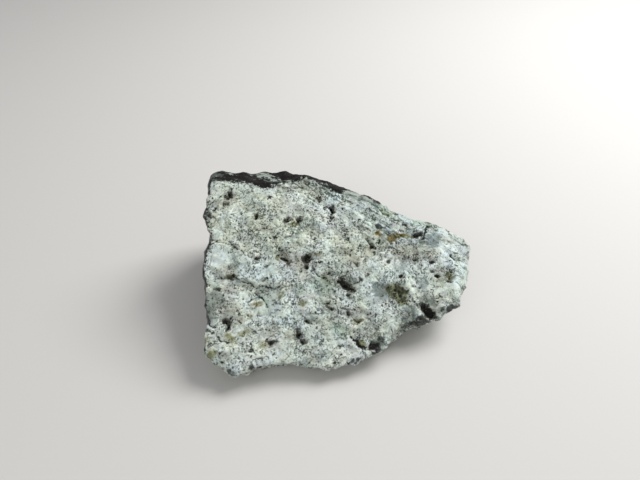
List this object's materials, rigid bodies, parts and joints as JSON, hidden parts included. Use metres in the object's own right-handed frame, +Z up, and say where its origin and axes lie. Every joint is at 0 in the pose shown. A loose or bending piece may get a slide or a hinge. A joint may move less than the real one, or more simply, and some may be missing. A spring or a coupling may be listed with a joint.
{
  "type": "rough black opal specimen in pale host rock",
  "caption": "Hand-sized broken stone: a pale speckled sloping face with dark opal along its back and left breaks, flat underneath.",
  "frame": {"origin": "middle of the stone's bounding box, on the plane that it rests on", "axes": "+X along the stone to its narrow tip, +Y to its steep dark back, +Z up"},
  "size_m": [0.084, 0.0666, 0.0358],
  "materials": {
    "opal_rock": "dull weathered pale grey-green rock with dark speckle, glassy black opal on the broken back, left and lower right edges"
  },
  "bodies": {
    "root": {"stone": "opal_rock"}
  },
  "joints": []
}
